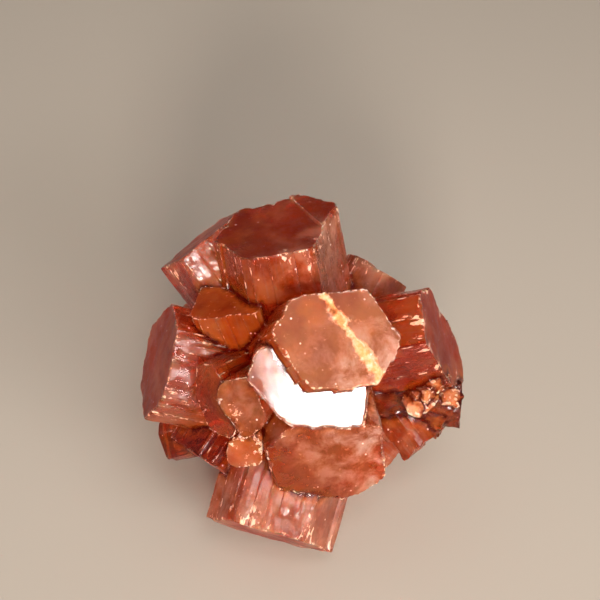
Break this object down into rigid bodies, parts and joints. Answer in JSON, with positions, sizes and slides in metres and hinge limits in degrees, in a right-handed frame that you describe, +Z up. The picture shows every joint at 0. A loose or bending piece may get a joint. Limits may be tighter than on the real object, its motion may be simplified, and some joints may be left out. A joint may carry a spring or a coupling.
{
  "type": "sputnik aragonite",
  "caption": "Natural radiating cluster of stubby six-sided aragonite twin crystals, amber to blood red, that stands on the flat end of one of them.",
  "frame": {"origin": "middle of the cluster's bounding box, at the level it stands on", "axes": "+Z up; -Y is the show side, seen from 40 degrees above; +X to that viewer's right"},
  "size_m": [0.0404, 0.0406, 0.0417],
  "materials": {
    "crystal": "vitreous, translucent amber to blood red, with cloudy inclusions"
  },
  "bodies": {
    "root": {"crystal_cluster": "crystal"}
  },
  "joints": []
}
